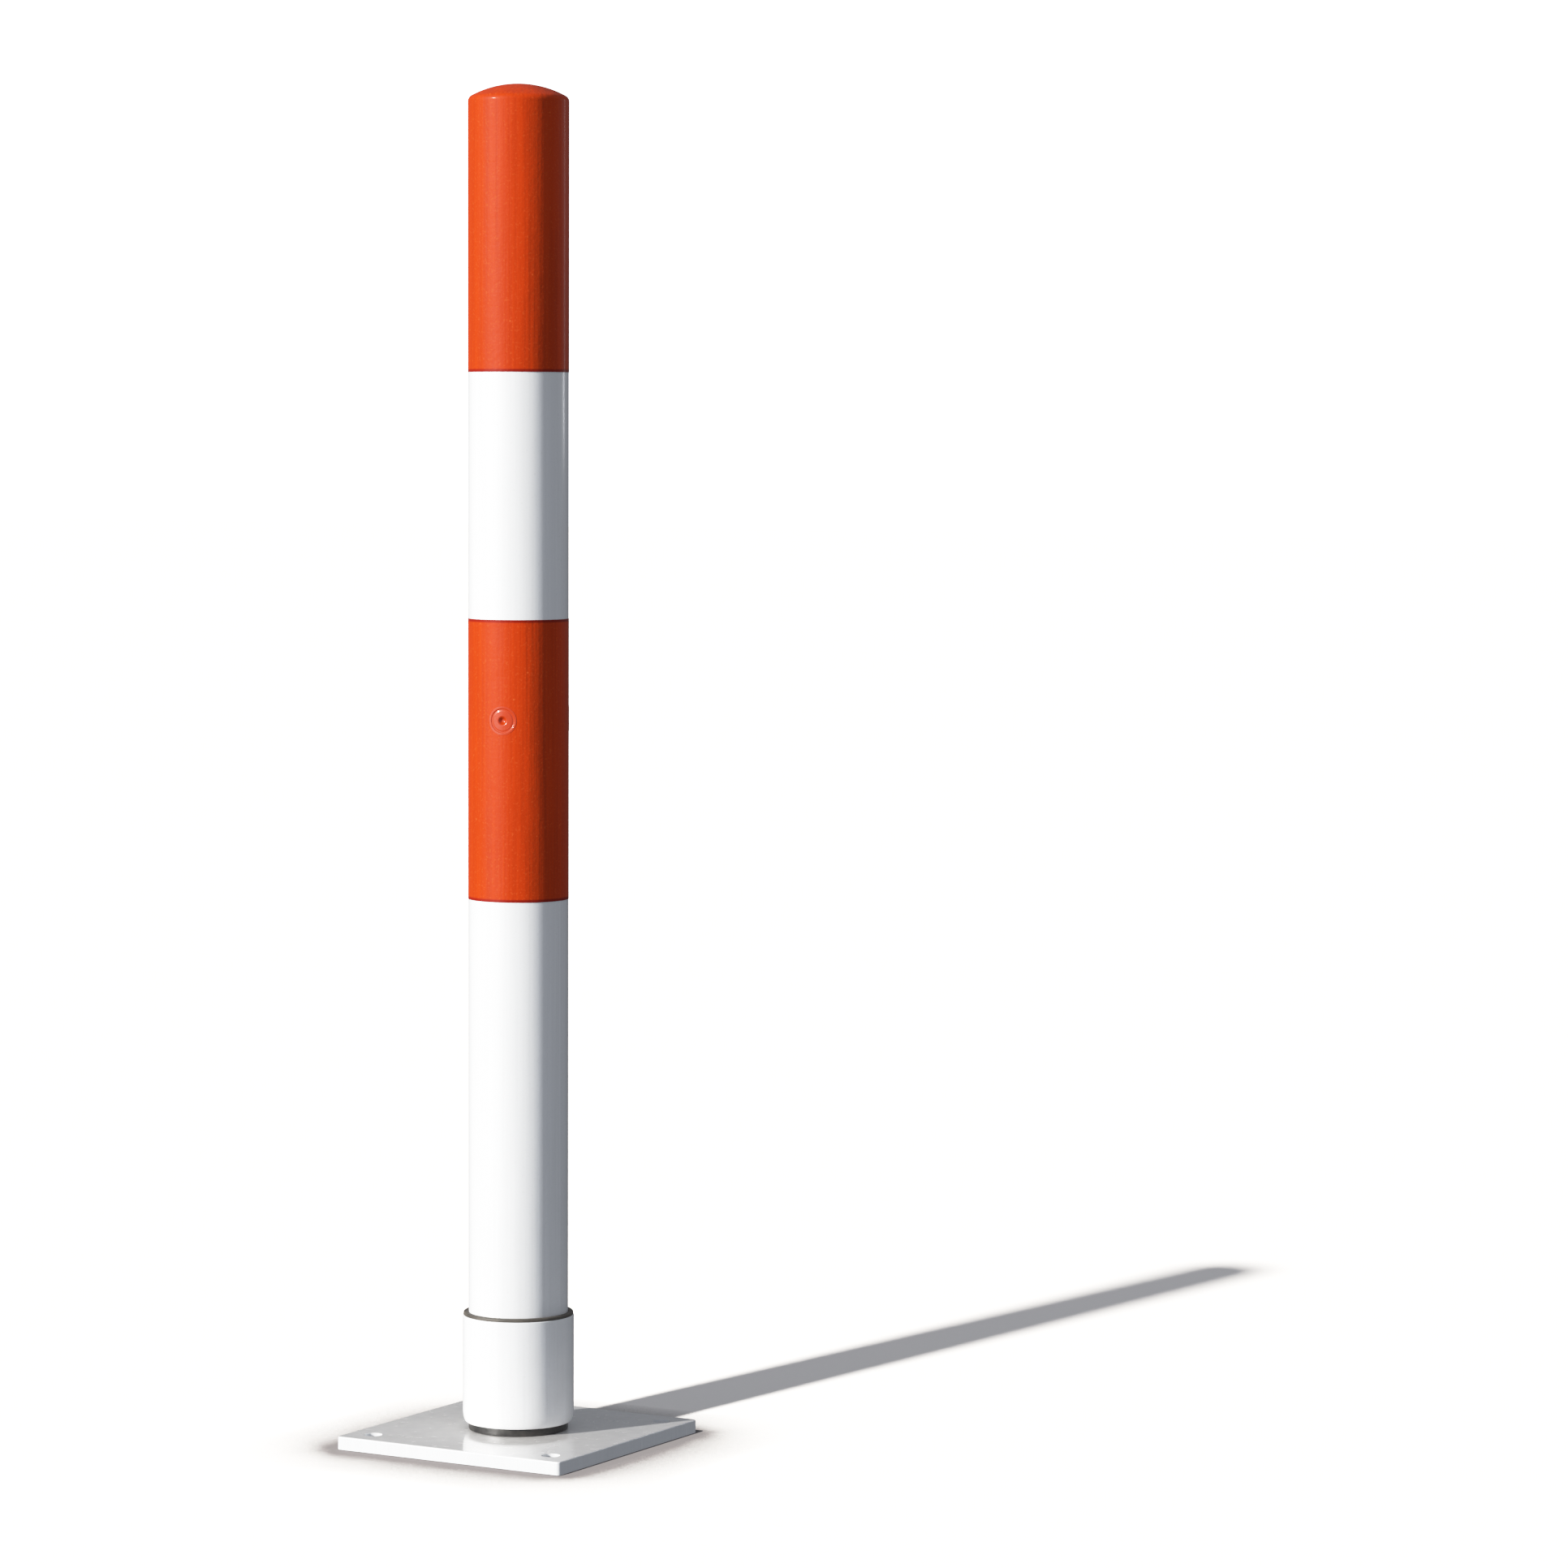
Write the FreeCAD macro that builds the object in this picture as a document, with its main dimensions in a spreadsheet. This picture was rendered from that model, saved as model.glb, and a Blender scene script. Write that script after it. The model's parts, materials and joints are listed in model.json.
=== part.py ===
import FreeCAD, Part
import os
import Sketcher

# Self-righting barrier post on a dowelled base plate.  Millimetres, +Z up.
# The origin is the centre of the plate's underside, and the plate's edges lie along X and Y.
# A fork turns in the plate, a tie rod is hinged in the fork, and the foot cup and the post
# stand round that rod.  A spring in the post pulls the rod up, so the post stays seated.

SIZES = {
    # Base plate
    "plate_width": 200,
    "plate_thick": 10,
    "plate_corner": 3,
    "plate_edge": 1,
    "anchor_inset": 20,
    "anchor_radius": 7,
    "counterbore_room": 2,
    "counterbore_deep": 4.5,
    # Clearances
    "running_gap": 0.05,
    "face_gap": 0.2,
    "soft_gap": 0.3,
    "eye_side_gap": 0.5,
    "fork_headroom": 1.8,
    "pin_room": 7,
    "post_play": 1.5,
    # Fork that turns in the plate
    "journal_radius": 10,
    "bush_wall": 2.95,
    "bush_flange": 1.5,
    "bush_flange_reach": 4,
    "fork_flange_radius": 18.5,
    "fork_flange": 4,
    "ear_radius": 12,
    "ear_thick": 7,
    "ear_gap": 13,
    "pin_radius": 6,
    "pin_overhang": 3.5,
    "clip_thick": 1,
    "clip_reach": 2.5,
    "clip_groove": 0.6,
    "washer_radius": 18,
    "washer_thick": 3,
    "screw_radius": 4,
    "screw_reach": 9.3,
    "screw_socket_radius": 2.5,
    "screw_socket_deep": 2,
    # Foot cup and the rubber block under it
    "cup_gap": 6,
    "cup_high": 82.5,
    "cup_wall": 3,
    "cup_roll_rise": 10,
    "cup_roll_in": 2.7,
    "cup_round": 1.4,
    "rubber_waist": 22,
    "rubber_bevel": 5,
    "pressure_plate_thick": 6,
    "seal_thick": 2.5,
    "seal_lip": 6.5,
    # Tie rod
    "eye_bush_wall": 1.45,
    "rod_radius": 7,
    "rod_clearance": 0.3,
    "rod_stub": 18,
    "nut_wall": 6.9,
    "nut_high": 11,
    "lock_nut_high": 8,
    "spring_washer_lip": 1.5,
    "spring_washer_thick": 6,
    # Post
    "post_radius": 38,
    "post_wall": 3,
    "post_top": 1035,
    "film_thick": 0.25,
    "upper_band_bottom": 818,
    "lower_band_bottom": 418,
    "lower_band_high": 213.5,
    "dome_radius": 75,
    "dome_shoulder": 5,
    "cap_side": 4,
    "cap_skirt": 25,
    "guide_up": 13.8,
    "guide_high": 12,
    # Spring, and its seat held by screws through the post's wall
    "seat_up": 137.5,
    "seat_high": 20,
    "spring_high": 159.5,
    "spring_mean_radius": 23,
    "wire_radius": 3.5,
    "spring_turns": 10.5,
    "screw_azimuth": 14,
    "seat_screw_radius": 9,
    "seat_screw_gap": 0.4,
    "seat_screw_sunk": 0.25,
    "seat_shank_radius": 5,
    "seat_shank": 9,
    "seat_socket_radius": 3,
    "seat_socket": 1.8,
}

SEAT_SCREWS = 3

doc = FreeCAD.newDocument("SelfRightingPost")
sheet = doc.addObject("Spreadsheet::Sheet", "Sizes")


class Size:
    """A length known both as a number and as a formula on the sheet."""

    def __init__(self, number, formula):
        self.number = number
        self.formula = formula

    def join(self, sign, other, number):
        return Size(number, "(%s %s %s)" % (self.formula, sign, other.formula))

    def __add__(self, other):
        other = as_size(other)
        return self.join("+", other, self.number + other.number)

    def __sub__(self, other):
        other = as_size(other)
        return self.join("-", other, self.number - other.number)

    def __mul__(self, other):
        other = as_size(other)
        return self.join("*", other, self.number * other.number)

    def __truediv__(self, other):
        other = as_size(other)
        return self.join("/", other, self.number / other.number)

    def __neg__(self):
        return ZERO - self

    def root(self):
        return Size(self.number ** 0.5, "sqrt(%s)" % self.formula)


def as_size(value):
    if isinstance(value, Size):
        return value
    return Size(value, repr(value))


ZERO = Size(0, "0")


class Sizes:
    """Holds each alias of the sheet as a Size, such as s.plate_width."""


def fill_sheet():
    sizes = Sizes()
    for row, (alias, number) in enumerate(SIZES.items(), start=1):
        sheet.set("A%d" % row, alias)
        sheet.set("B%d" % row, str(number))
        sheet.setAlias("B%d" % row, alias)
        setattr(sizes, alias, Size(number, "Sizes." + alias))
    doc.recompute()
    return sizes


s = fill_sheet()


# Helpers -------------------------------------------------------------------

def new_body(label):
    body = doc.addObject("PartDesign::Body", label)
    body.Label = label
    return body


def origin_plane(body, role):
    for feature in body.Origin.OriginFeatures:
        if feature.Role == role:
            return feature
    raise ValueError("no plane " + role)


def new_sketch(body, role, lift=None):
    sketch = body.newObject("Sketcher::SketchObject", body.Name + "_sketch")
    sketch.AttachmentSupport = [(origin_plane(body, role), "")]
    sketch.MapMode = "FlatFace"
    if lift is not None:
        sketch.setExpression("AttachmentOffset.Base.z", lift.formula)
    return sketch


def bind_constraint(sketch, constraint, formula):
    sketch.setExpression("Constraints[%d]" % constraint, formula)


def fix_point(sketch, geometry, end, x, y):
    """Ties one point to the sketch's origin by its two coordinates; None leaves one free."""
    for kind, axis, size in (("DistanceX", -2, x), ("DistanceY", -1, y)):
        if size is None:
            continue
        if size is ZERO:
            sketch.addConstraint(Sketcher.Constraint("PointOnObject", geometry, end, axis))
            continue
        made = sketch.addConstraint(
            Sketcher.Constraint(kind, -1, 1, geometry, end, size.number))
        bind_constraint(sketch, made, size.formula)


def draw_outline(sketch, corners, dome_radius=None):
    """Draws a closed outline.  With a dome radius, its first side is an arc about the axis."""
    count = len(corners)
    places = [FreeCAD.Vector(x.number, y.number, 0) for x, y in corners]
    sides = []
    for index in range(count):
        start, end = places[index], places[(index + 1) % count]
        if dome_radius is not None and index == 0:
            middle = FreeCAD.Vector(0, start.y - dome_radius.number, 0)
            first = angle_of(end - middle)
            last = angle_of(start - middle)
            circle = Part.Circle(middle, FreeCAD.Vector(0, 0, 1), dome_radius.number)
            sides.append(sketch.addGeometry(Part.ArcOfCircle(circle, first, last), False))
        else:
            sides.append(sketch.addGeometry(Part.LineSegment(start, end), False))
    starts = [1] * count
    ends = [2] * count
    if dome_radius is not None:
        starts[0], ends[0] = 2, 1
    for index in range(count):
        after = (index + 1) % count
        sketch.addConstraint(Sketcher.Constraint(
            "Coincident", sides[index], ends[index], sides[after], starts[after]))
    if dome_radius is not None:
        sketch.addConstraint(Sketcher.Constraint("PointOnObject", sides[0], 3, -2))
        made = sketch.addConstraint(
            Sketcher.Constraint("Radius", sides[0], dome_radius.number))
        bind_constraint(sketch, made, dome_radius.formula)
    for index, (x, y) in enumerate(corners):
        free_height = dome_radius is not None and index == 1
        fix_point(sketch, sides[index], starts[index], x, None if free_height else y)


def angle_of(vector):
    """The angle of a vector in the sketch, in radians from its X axis."""
    angle = FreeCAD.Vector(1, 0, 0).getAngle(vector)
    return angle if vector.y >= 0 else -angle


def draw_circle(sketch, x, y, radius):
    middle = FreeCAD.Vector(x.number, y.number, 0)
    circle = Part.Circle(middle, FreeCAD.Vector(0, 0, 1), radius.number)
    made = sketch.addGeometry(circle, False)
    limit = sketch.addConstraint(Sketcher.Constraint("Radius", made, radius.number))
    bind_constraint(sketch, limit, radius.formula)
    fix_point(sketch, made, 3, x, y)


def draw_block(sketch, half_x, low_y, high_y):
    draw_outline(sketch, [(-half_x, low_y), (half_x, low_y), (half_x, high_y), (-half_x, high_y)])


def pad(body, sketch, length, both_sides=False):
    feature = body.newObject("PartDesign::Pad", body.Name + "_pad")
    feature.Profile = sketch
    feature.SideType = "Symmetric" if both_sides else "One side"
    feature.setExpression("Length", length.formula)
    doc.recompute()
    return feature


def pocket(body, sketch, length, both_sides=False, upward=False):
    before = body.Shape.Volume
    feature = body.newObject("PartDesign::Pocket", body.Name + "_pocket")
    feature.Profile = sketch
    feature.SideType = "Symmetric" if both_sides else "One side"
    feature.Reversed = upward
    feature.setExpression("Length", length.formula)
    doc.recompute()
    if body.Shape.Volume >= before:
        raise ValueError(body.Label + ": a pocket cuts nothing")
    return feature


def revolve(body, sketch):
    feature = body.newObject("PartDesign::Revolution", body.Name + "_turned")
    feature.Profile = sketch
    feature.ReferenceAxis = (sketch, ["V_Axis"])
    feature.Angle = 360
    doc.recompute()
    return feature


def turned(label, corners, dome_radius=None):
    """A piece turned about the Z axis from an outline of (radius, height) corners."""
    body = new_body(label)
    sketch = new_sketch(body, "XZ_Plane")
    draw_outline(sketch, corners, dome_radius)
    revolve(body, sketch)
    return body


def ring(label, inner, outer, bottom, top):
    return turned(label, [(inner, bottom), (outer, bottom), (outer, top), (inner, top)])


def dress(body, kind, size, wanted):
    """Rounds or bevels the edges of the body that the test picks."""
    tip = body.Tip
    names = ["Edge%d" % (number + 1)
             for number, edge in enumerate(tip.Shape.Edges) if wanted(edge)]
    if not names:
        raise ValueError(body.Label + ": no edge to finish")
    feature = body.newObject("PartDesign::" + kind, body.Name + "_" + kind.lower())
    feature.Base = (tip, names)
    feature.setExpression("Radius" if kind == "Fillet" else "Size", size.formula)
    doc.recompute()
    return feature


def near(value, goal):
    return abs(value - goal) < 1e-4


def rim_at(radius, height):
    """A test for the round edges of this radius at this height."""
    def wanted(edge):
        if edge.Degenerated or edge.Curve.TypeId != "Part::GeomCircle":
            return False
        return near(edge.Curve.Radius, radius.number) and near(edge.Curve.Center.z, height.number)
    return wanted


def cylinder(name, radius, length, place=None, turn=None):
    """A Part cylinder.  place is its foot, and turn the axis and angle that it is turned by."""
    made = doc.addObject("Part::Cylinder", name)
    made.setExpression("Radius", radius.formula)
    made.setExpression("Height", length.formula)
    if turn is not None:
        made.Placement.Rotation = FreeCAD.Rotation(*turn)
    for letter, size in zip("xyz", place or ()):
        made.setExpression("Placement.Base." + letter, size.formula)
    return made


def cut(label, base, tool):
    made = doc.addObject("Part::Cut", label)
    made.Label = label
    made.Base = base
    made.Tool = tool
    return made


def group(label, pieces):
    made = doc.addObject("Part::Compound", label)
    made.Label = label
    made.Links = pieces
    return made


def turned_copy(name, piece, angle):
    """A copy of a piece turned about the Z axis by a Size in degrees."""
    made = doc.addObject("Part::Compound", name)
    made.Links = [piece]
    made.setExpression("Placement.Rotation.Angle", angle.formula)
    return made


# Places that several pieces share ------------------------------------------

plate_top = s.plate_thick
bush_bore_radius = s.journal_radius + s.running_gap
bush_radius = bush_bore_radius + s.bush_wall
bush_bottom = s.counterbore_deep
bush_top = plate_top + s.bush_flange
flange_bottom = bush_top + s.face_gap
flange_top = flange_bottom + s.fork_flange
pivot_height = flange_top + s.eye_side_gap + s.ear_radius
ear_top = pivot_height + s.ear_radius
washer_top = s.counterbore_deep - s.soft_gap
washer_bottom = washer_top - s.washer_thick
screw_head_radius = s.screw_radius + s.washer_thick
ear_reach = s.ear_gap / 2 + s.ear_thick
eye_thick = s.ear_gap - s.eye_side_gap * 2
eye_bush_radius = s.pin_radius + s.running_gap + s.eye_bush_wall
pin_half = ear_reach + s.pin_overhang
clip_inner_radius = s.pin_radius - s.clip_groove

cup_bottom = plate_top + s.cup_gap
cup_top = cup_bottom + s.cup_high
cup_inner_radius = s.post_radius + s.post_play
cup_radius = cup_inner_radius + s.cup_wall
lip_radius = cup_radius - s.cup_roll_in
lip_inner_radius = lip_radius - s.cup_wall
pressure_plate_bottom = ear_top + s.fork_headroom
pressure_plate_top = pressure_plate_bottom + s.pressure_plate_thick

post_bottom = pressure_plate_top + s.face_gap
post_bore_radius = s.post_radius - s.post_wall
film_radius = s.post_radius + s.film_thick
dome_drop = s.dome_radius - (s.dome_radius * s.dome_radius - film_radius * film_radius).root()
rim_height = s.post_top - dome_drop
cap_seat = rim_height - s.cap_side

rod_hole_radius = s.rod_radius + s.rod_clearance
seat_middle = s.lower_band_bottom + s.seat_up
seat_bottom = seat_middle - s.seat_high / 2
seat_top = seat_middle + s.seat_high / 2
spring_top = seat_top + s.spring_high
nut_bottom = spring_top + s.spring_washer_thick
lock_nut_bottom = nut_bottom + s.nut_high
rod_top = lock_nut_bottom + s.lock_nut_high + s.rod_stub


# Base ------------------------------------------------------------------------

def make_base_plate():
    body = new_body("base_plate")
    outline = new_sketch(body, "XY_Plane")
    half = s.plate_width / 2
    draw_block(outline, half, -half, half)
    pad(body, outline, s.plate_thick)
    holes = new_sketch(body, "XY_Plane")
    reach = half - s.anchor_inset
    for x in (-reach, reach):
        for y in (-reach, reach):
            draw_circle(holes, x, y, s.anchor_radius)
    draw_circle(holes, ZERO, ZERO, bush_radius)
    pocket(body, holes, s.plate_thick, upward=True)
    recess = new_sketch(body, "XY_Plane")
    draw_circle(recess, ZERO, ZERO, s.washer_radius + s.counterbore_room)
    pocket(body, recess, s.counterbore_deep, upward=True)

    def upright_corner(edge):
        first, last = edge.Vertexes[0].Point, edge.Vertexes[-1].Point
        return near(first.x, last.x) and near(first.y, last.y) and near(abs(first.x), half.number)

    dress(body, "Fillet", s.plate_corner, upright_corner)

    def top_rim(edge):
        box = edge.BoundBox
        reach_out = max(abs(box.XMin), abs(box.XMax), abs(box.YMin), abs(box.YMax))
        return near(box.ZMin, plate_top.number) and near(box.ZMax, plate_top.number) \
            and near(reach_out, half.number)

    dress(body, "Fillet", s.plate_edge, top_rim)


def make_fork_bush():
    flange_rim = bush_radius + s.bush_flange_reach
    turned("fork_bush", [
        (bush_bore_radius, bush_bottom), (bush_radius, bush_bottom), (bush_radius, plate_top),
        (flange_rim, plate_top), (flange_rim, bush_top),
        (bush_bore_radius, bush_top)])


# Swivel ----------------------------------------------------------------------

def make_pivot_fork():
    body = turned("pivot_fork", [
        (ZERO, washer_top), (s.journal_radius, washer_top), (s.journal_radius, flange_bottom),
        (s.fork_flange_radius, flange_bottom), (s.fork_flange_radius, flange_top),
        (ZERO, flange_top)])
    ears = new_sketch(body, "XZ_Plane")
    draw_block(ears, s.ear_radius, flange_top, pivot_height)
    pad(body, ears, ear_reach * 2, both_sides=True)
    tops = new_sketch(body, "XZ_Plane")
    draw_circle(tops, ZERO, pivot_height, s.ear_radius)
    pad(body, tops, ear_reach * 2, both_sides=True)
    slot = new_sketch(body, "XZ_Plane")
    draw_block(slot, s.fork_flange_radius, flange_top, ear_top + s.face_gap)
    pocket(body, slot, s.ear_gap, both_sides=True)
    bore = new_sketch(body, "XZ_Plane")
    draw_circle(bore, ZERO, pivot_height, s.pin_radius)
    pocket(body, bore, ear_reach * 2, both_sides=True)
    thread = new_sketch(body, "XY_Plane", washer_top)
    draw_circle(thread, ZERO, ZERO, s.screw_radius)
    pocket(body, thread, s.screw_reach, upward=True)


def make_retaining_washer():
    turned("retaining_washer", [
        (screw_head_radius, washer_bottom), (s.washer_radius, washer_bottom),
        (s.washer_radius, washer_top), (s.screw_radius, washer_top)])


def make_retaining_screw():
    tip = washer_top + s.screw_reach
    socket_top = washer_bottom + s.screw_socket_deep
    turned("retaining_screw", [
        (s.screw_socket_radius, washer_bottom), (screw_head_radius, washer_bottom),
        (s.screw_radius, washer_top), (s.screw_radius, tip), (ZERO, tip),
        (ZERO, socket_top), (s.screw_socket_radius, socket_top)])


def clip_ring(name, foot, thick):
    """A flat ring about the pivot pin, from foot along +Y."""
    turn = (FreeCAD.Vector(1, 0, 0), -90)
    place = (ZERO, foot, pivot_height)
    outer = cylinder(name + "_outer", s.pin_radius + s.clip_reach, thick, place, turn)
    inner = cylinder(name + "_inner", clip_inner_radius, thick, place, turn)
    return cut(name, outer, inner)


def make_pivot_pin():
    turn = (FreeCAD.Vector(1, 0, 0), -90)
    pin = cylinder("pin_bar", s.pin_radius, pin_half * 2, (ZERO, -pin_half, pivot_height), turn)
    near_foot = -(ear_reach + s.face_gap + s.clip_thick)
    far_foot = ear_reach + s.face_gap
    grooves = [clip_ring("near_groove", near_foot, s.clip_thick),
               clip_ring("far_groove", far_foot, s.clip_thick)]
    cut("pivot_pin", pin, group("pin_grooves", grooves))
    clips = [clip_ring("near_clip", near_foot, s.clip_thick),
             clip_ring("far_clip", far_foot, s.clip_thick)]
    group("pin_clips", clips)


def make_rubber_block():
    foot_bottom = plate_top + s.face_gap / 2
    foot_top = cup_bottom - s.soft_gap
    waist_top = plate_top + s.rubber_waist
    head_radius = cup_inner_radius - s.soft_gap
    waist_radius = lip_inner_radius - s.soft_gap
    bore_radius = pin_half + s.pin_room
    block_top = pressure_plate_bottom - s.soft_gap
    turned("rubber_block", [
        (bore_radius, foot_bottom), (s.post_radius, foot_bottom),
        (s.post_radius, foot_top), (waist_radius, foot_top),
        (waist_radius, waist_top), (head_radius, waist_top + s.rubber_bevel),
        (head_radius, block_top), (bore_radius, block_top)])


# Foot ------------------------------------------------------------------------

def make_tie_rod():
    body = new_body("tie_rod")
    eye = new_sketch(body, "XZ_Plane")
    draw_circle(eye, ZERO, pivot_height, s.ear_radius)
    pad(body, eye, eye_thick, both_sides=True)
    neck_top = ear_top + s.face_gap
    neck = new_sketch(body, "XZ_Plane")
    draw_block(neck, eye_thick / 2, pivot_height, neck_top)
    pad(body, neck, eye_thick, both_sides=True)
    shank = new_sketch(body, "XY_Plane", neck_top)
    draw_circle(shank, ZERO, ZERO, s.rod_radius)
    pad(body, shank, rod_top - neck_top)
    bore = new_sketch(body, "XZ_Plane")
    draw_circle(bore, ZERO, pivot_height, eye_bush_radius)
    pocket(body, bore, eye_thick, both_sides=True)
    dress(body, "Chamfer", s.plate_edge, rim_at(s.rod_radius, rod_top))


def make_eye_bush():
    turn = (FreeCAD.Vector(1, 0, 0), -90)
    place = (ZERO, -eye_thick / 2, pivot_height)
    outer = cylinder("eye_bush_outer", eye_bush_radius, eye_thick, place, turn)
    inner = cylinder("eye_bush_inner", s.pin_radius + s.running_gap, eye_thick, place, turn)
    cut("eye_bush", outer, inner)


def make_collar():
    roll_top = cup_bottom + s.cup_roll_rise
    body = turned("collar", [
        (lip_inner_radius, cup_bottom), (lip_radius, cup_bottom),
        (cup_radius, roll_top), (cup_radius, cup_top), (cup_inner_radius, cup_top),
        (cup_inner_radius, roll_top)])
    dress(body, "Fillet", s.cup_round, rim_at(lip_radius, cup_bottom))


def make_pressure_plate():
    ring("pressure_plate", rod_hole_radius, cup_inner_radius, pressure_plate_bottom,
         pressure_plate_top)


def make_top_seal():
    seal_radius = s.post_radius + s.soft_gap
    turned("top_seal", [
        (seal_radius, cup_top - s.seal_lip), (cup_inner_radius, cup_top - s.seal_lip),
        (cup_inner_radius, cup_top), (cup_radius, cup_top),
        (cup_radius, cup_top + s.seal_thick), (seal_radius, cup_top + s.seal_thick)])


def make_spring_washer():
    outer_radius = s.spring_mean_radius + s.wire_radius + s.spring_washer_lip
    ring("spring_washer", s.rod_radius, outer_radius, spring_top, nut_bottom)


def make_nut(label, bottom, high):
    blank = doc.addObject("Part::Prism", label + "_blank")
    blank.Polygon = 6
    blank.setExpression("Circumradius", (s.rod_radius + s.nut_wall).formula)
    blank.setExpression("Height", high.formula)
    blank.setExpression("Placement.Base.z", bottom.formula)
    bore = cylinder(label + "_bore", s.rod_radius, high, (ZERO, ZERO, bottom))
    cut(label, blank, bore)


# Spring ----------------------------------------------------------------------

def make_spring():
    """A wire swept along a helix, its two ends ground flat."""
    helix = doc.addObject("Part::Helix", "spring_path")
    helix.setExpression("Radius", s.spring_mean_radius.formula)
    helix.setExpression("Height", s.spring_high.formula)
    helix.setExpression("Pitch", (s.spring_high / s.spring_turns).formula)
    helix.setExpression("Placement.Base.z", seat_top.formula)
    wire = doc.addObject("Part::Circle", "spring_wire")
    wire.setExpression("Radius", s.wire_radius.formula)
    wire.Placement.Rotation = FreeCAD.Rotation(FreeCAD.Vector(1, 0, 0), 90)
    wire.setExpression("Placement.Base.x", s.spring_mean_radius.formula)
    wire.setExpression("Placement.Base.z", seat_top.formula)
    coil = doc.addObject("Part::Sweep", "spring_coil")
    coil.Sections = [wire]
    coil.Spine = (helix, [])
    coil.Solid = True
    coil.Frenet = True
    between = cylinder("spring_span", s.spring_mean_radius + s.wire_radius * 2,
                       s.spring_high - s.face_gap * 2,
                       (ZERO, ZERO, seat_top + s.face_gap))
    spring = doc.addObject("Part::Common", "compression_spring")
    spring.Label = "compression_spring"
    spring.Base = coil
    spring.Tool = between


# Post ------------------------------------------------------------------------

def side_bar(name, number, radius, foot, length):
    """A round bar square to the post's side, at one seat screw's place."""
    turn = (FreeCAD.Vector(1, 0, 0), 90)
    bar = cylinder(name + "_bar%d" % number, radius, length, (ZERO, -foot, seat_middle), turn)
    angle = s.screw_azimuth + 360 * number / SEAT_SCREWS
    return turned_copy(name + "%d" % number, bar, angle)


def side_holes(name, radius):
    """Three holes, as bars that reach from inside the seat to outside the post."""
    foot = post_bore_radius - s.seat_shank
    bars = [side_bar(name, number, radius, foot, s.seat_shank * 2)
            for number in range(SEAT_SCREWS)]
    return group(name + "_all", bars)


def plain_ring(name, inner, outer, bottom, high):
    place = (ZERO, ZERO, bottom)
    return cut(name, cylinder(name + "_outer", outer, high, place),
               cylinder(name + "_inner", inner, high, place))


def make_post_tube():
    blank = plain_ring("post_blank", post_bore_radius, s.post_radius, post_bottom,
                       cap_seat - post_bottom)
    cut("post_tube", blank, side_holes("post_hole", s.seat_screw_radius + s.seat_screw_gap))


def make_bands():
    ring("band_upper", s.post_radius, film_radius, s.upper_band_bottom, cap_seat)
    blank = plain_ring("band_blank", s.post_radius, film_radius, s.lower_band_bottom,
                       s.lower_band_high)
    cut("band_lower", blank, side_holes("band_hole", s.seat_screw_radius + s.seat_screw_gap))


def make_end_cap():
    skirt_radius = post_bore_radius - s.running_gap * 2
    skirt_bottom = cap_seat - s.cap_skirt
    inner_radius = skirt_radius - s.post_wall
    body = turned("end_cap", [
        (ZERO, s.post_top), (film_radius, rim_height), (film_radius, cap_seat),
        (skirt_radius, cap_seat), (skirt_radius, skirt_bottom), (inner_radius, skirt_bottom),
        (inner_radius, cap_seat), (ZERO, cap_seat)], dome_radius=s.dome_radius)
    dress(body, "Fillet", s.dome_shoulder, rim_at(film_radius, rim_height))


def make_rod_guide():
    guide_bottom = post_bottom + s.guide_up
    ring("rod_guide", rod_hole_radius, post_bore_radius, guide_bottom,
         guide_bottom + s.guide_high)


def make_spring_seat():
    blank = plain_ring("seat_blank", rod_hole_radius, post_bore_radius, seat_bottom, s.seat_high)
    cut("spring_seat", blank, side_holes("seat_hole", s.seat_shank_radius))


def make_seat_screws():
    """Each screw's disc head lies in the post's wall, its face curved and just below the paint."""
    screws = []
    face_radius = film_radius - s.seat_screw_sunk
    foot = post_bore_radius - s.seat_shank
    for number in range(SEAT_SCREWS):
        name = "seat_screw%d" % number
        shell = plain_ring(name + "_shell", post_bore_radius, face_radius,
                           seat_middle - s.seat_high / 2, s.seat_high)
        disc = side_bar(name + "_disc", number, s.seat_screw_radius, foot, s.seat_shank * 2)
        head = doc.addObject("Part::Common", name + "_head")
        head.Base = shell
        head.Tool = disc
        shank = side_bar(name + "_shank", number, s.seat_shank_radius, foot,
                         s.seat_shank + s.seat_screw_sunk)
        whole = doc.addObject("Part::Fuse", name + "_whole")
        whole.Base = head
        whole.Tool = shank
        socket = side_bar(name + "_socket", number, s.seat_socket_radius,
                          face_radius - s.seat_socket, s.seat_shank)
        screws.append(cut(name, whole, socket))
    group("seat_screws", screws)


def build():
    make_base_plate()
    make_fork_bush()
    make_pivot_fork()
    make_retaining_washer()
    make_retaining_screw()
    make_pivot_pin()
    make_rubber_block()
    make_tie_rod()
    make_eye_bush()
    make_collar()
    make_pressure_plate()
    make_top_seal()
    make_spring_washer()
    make_nut("preload_nut", nut_bottom, s.nut_high)
    make_nut("lock_nut", lock_nut_bottom, s.lock_nut_high)
    make_spring()
    make_post_tube()
    make_bands()
    make_end_cap()
    make_rod_guide()
    make_spring_seat()
    make_seat_screws()
    doc.recompute()


NODES = [
    "base_plate", "fork_bush",
    "pivot_fork", "retaining_washer", "retaining_screw", "pivot_pin", "pin_clips", "rubber_block",
    "tie_rod", "eye_bush", "collar", "pressure_plate", "top_seal",
    "spring_washer", "preload_nut", "lock_nut",
    "compression_spring",
    "post_tube", "band_upper", "band_lower", "end_cap", "rod_guide", "spring_seat", "seat_screws",
]


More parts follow.
